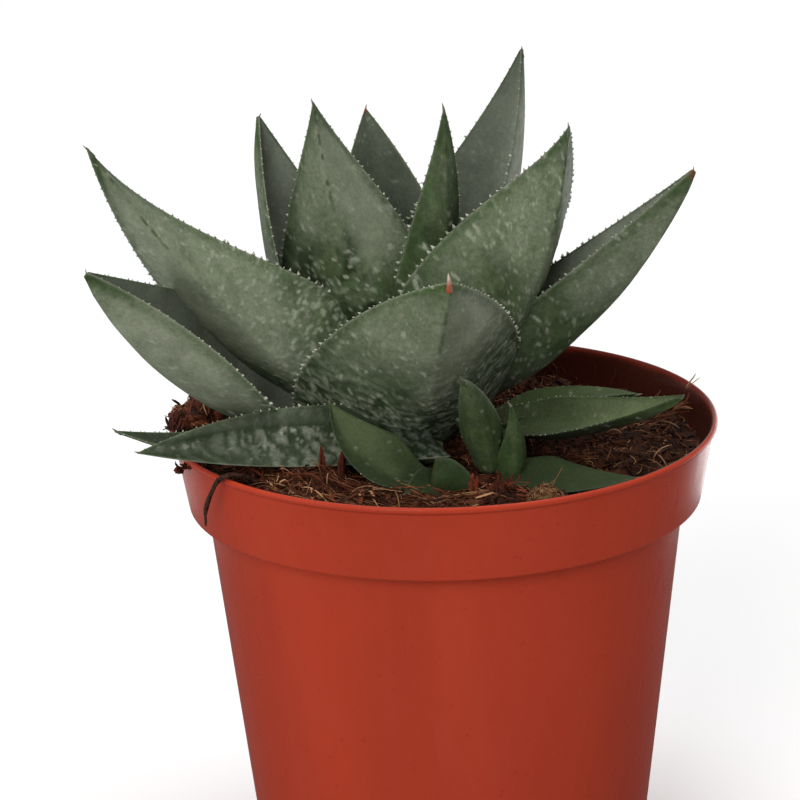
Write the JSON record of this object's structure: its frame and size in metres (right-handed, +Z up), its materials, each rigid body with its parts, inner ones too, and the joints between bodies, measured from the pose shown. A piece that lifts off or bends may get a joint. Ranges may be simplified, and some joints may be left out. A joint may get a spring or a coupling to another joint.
{
  "type": "potted haworthia",
  "caption": "Rosette succulent with keeled, toothed, pale-spotted leaves and young offsets, growing in coir in a round collared nursery pot.",
  "frame": {"origin": "middle of the pot's flat base", "axes": "+Z up along the pot's axis, -Y towards the viewer, +X to the viewer's right"},
  "size_m": [0.1176, 0.1139, 0.1587],
  "materials": {
    "pot": "satin",
    "soil": "matte",
    "coir": "matte",
    "stem": "matte",
    "leaf": "satin",
    "offset_leaf": "satin",
    "twig": "matte",
    "peat": "matte"
  },
  "bodies": {
    "root": {"pot": "pot", "soil": "soil", "coir_lump": "coir", "leaf_back_centre": "leaf", "leaf_back_left": "leaf", "leaf_back_right": "leaf", "leaf_behind_left": "leaf", "leaf_behind_right": "leaf", "leaf_centre_left": "leaf", "leaf_centre_right": "leaf", "leaf_front": "leaf", "leaf_heart": "leaf", "leaf_low_left": "leaf", "leaf_low_outer": "leaf", "leaf_lower_left": "leaf", "leaf_right": "leaf", "leaf_upper_left": "leaf", "leaf_young": "leaf", "offset_left_boat": "offset_leaf", "offset_left_front": "offset_leaf", "offset_left_right": "offset_leaf", "offset_middle_low": "offset_leaf", "offset_middle_right": "offset_leaf", "offset_middle_upright": "offset_leaf", "offset_right_back": "offset_leaf", "offset_right_dark": "offset_leaf", "offset_right_long": "offset_leaf", "peat_ball": "peat", "rim_twig": "twig", "stem_main": "stem", "stem_offset_left": "stem", "stem_offset_low": "stem", "stem_offset_middle": "stem", "stem_offset_right": "stem"}
  },
  "joints": []
}
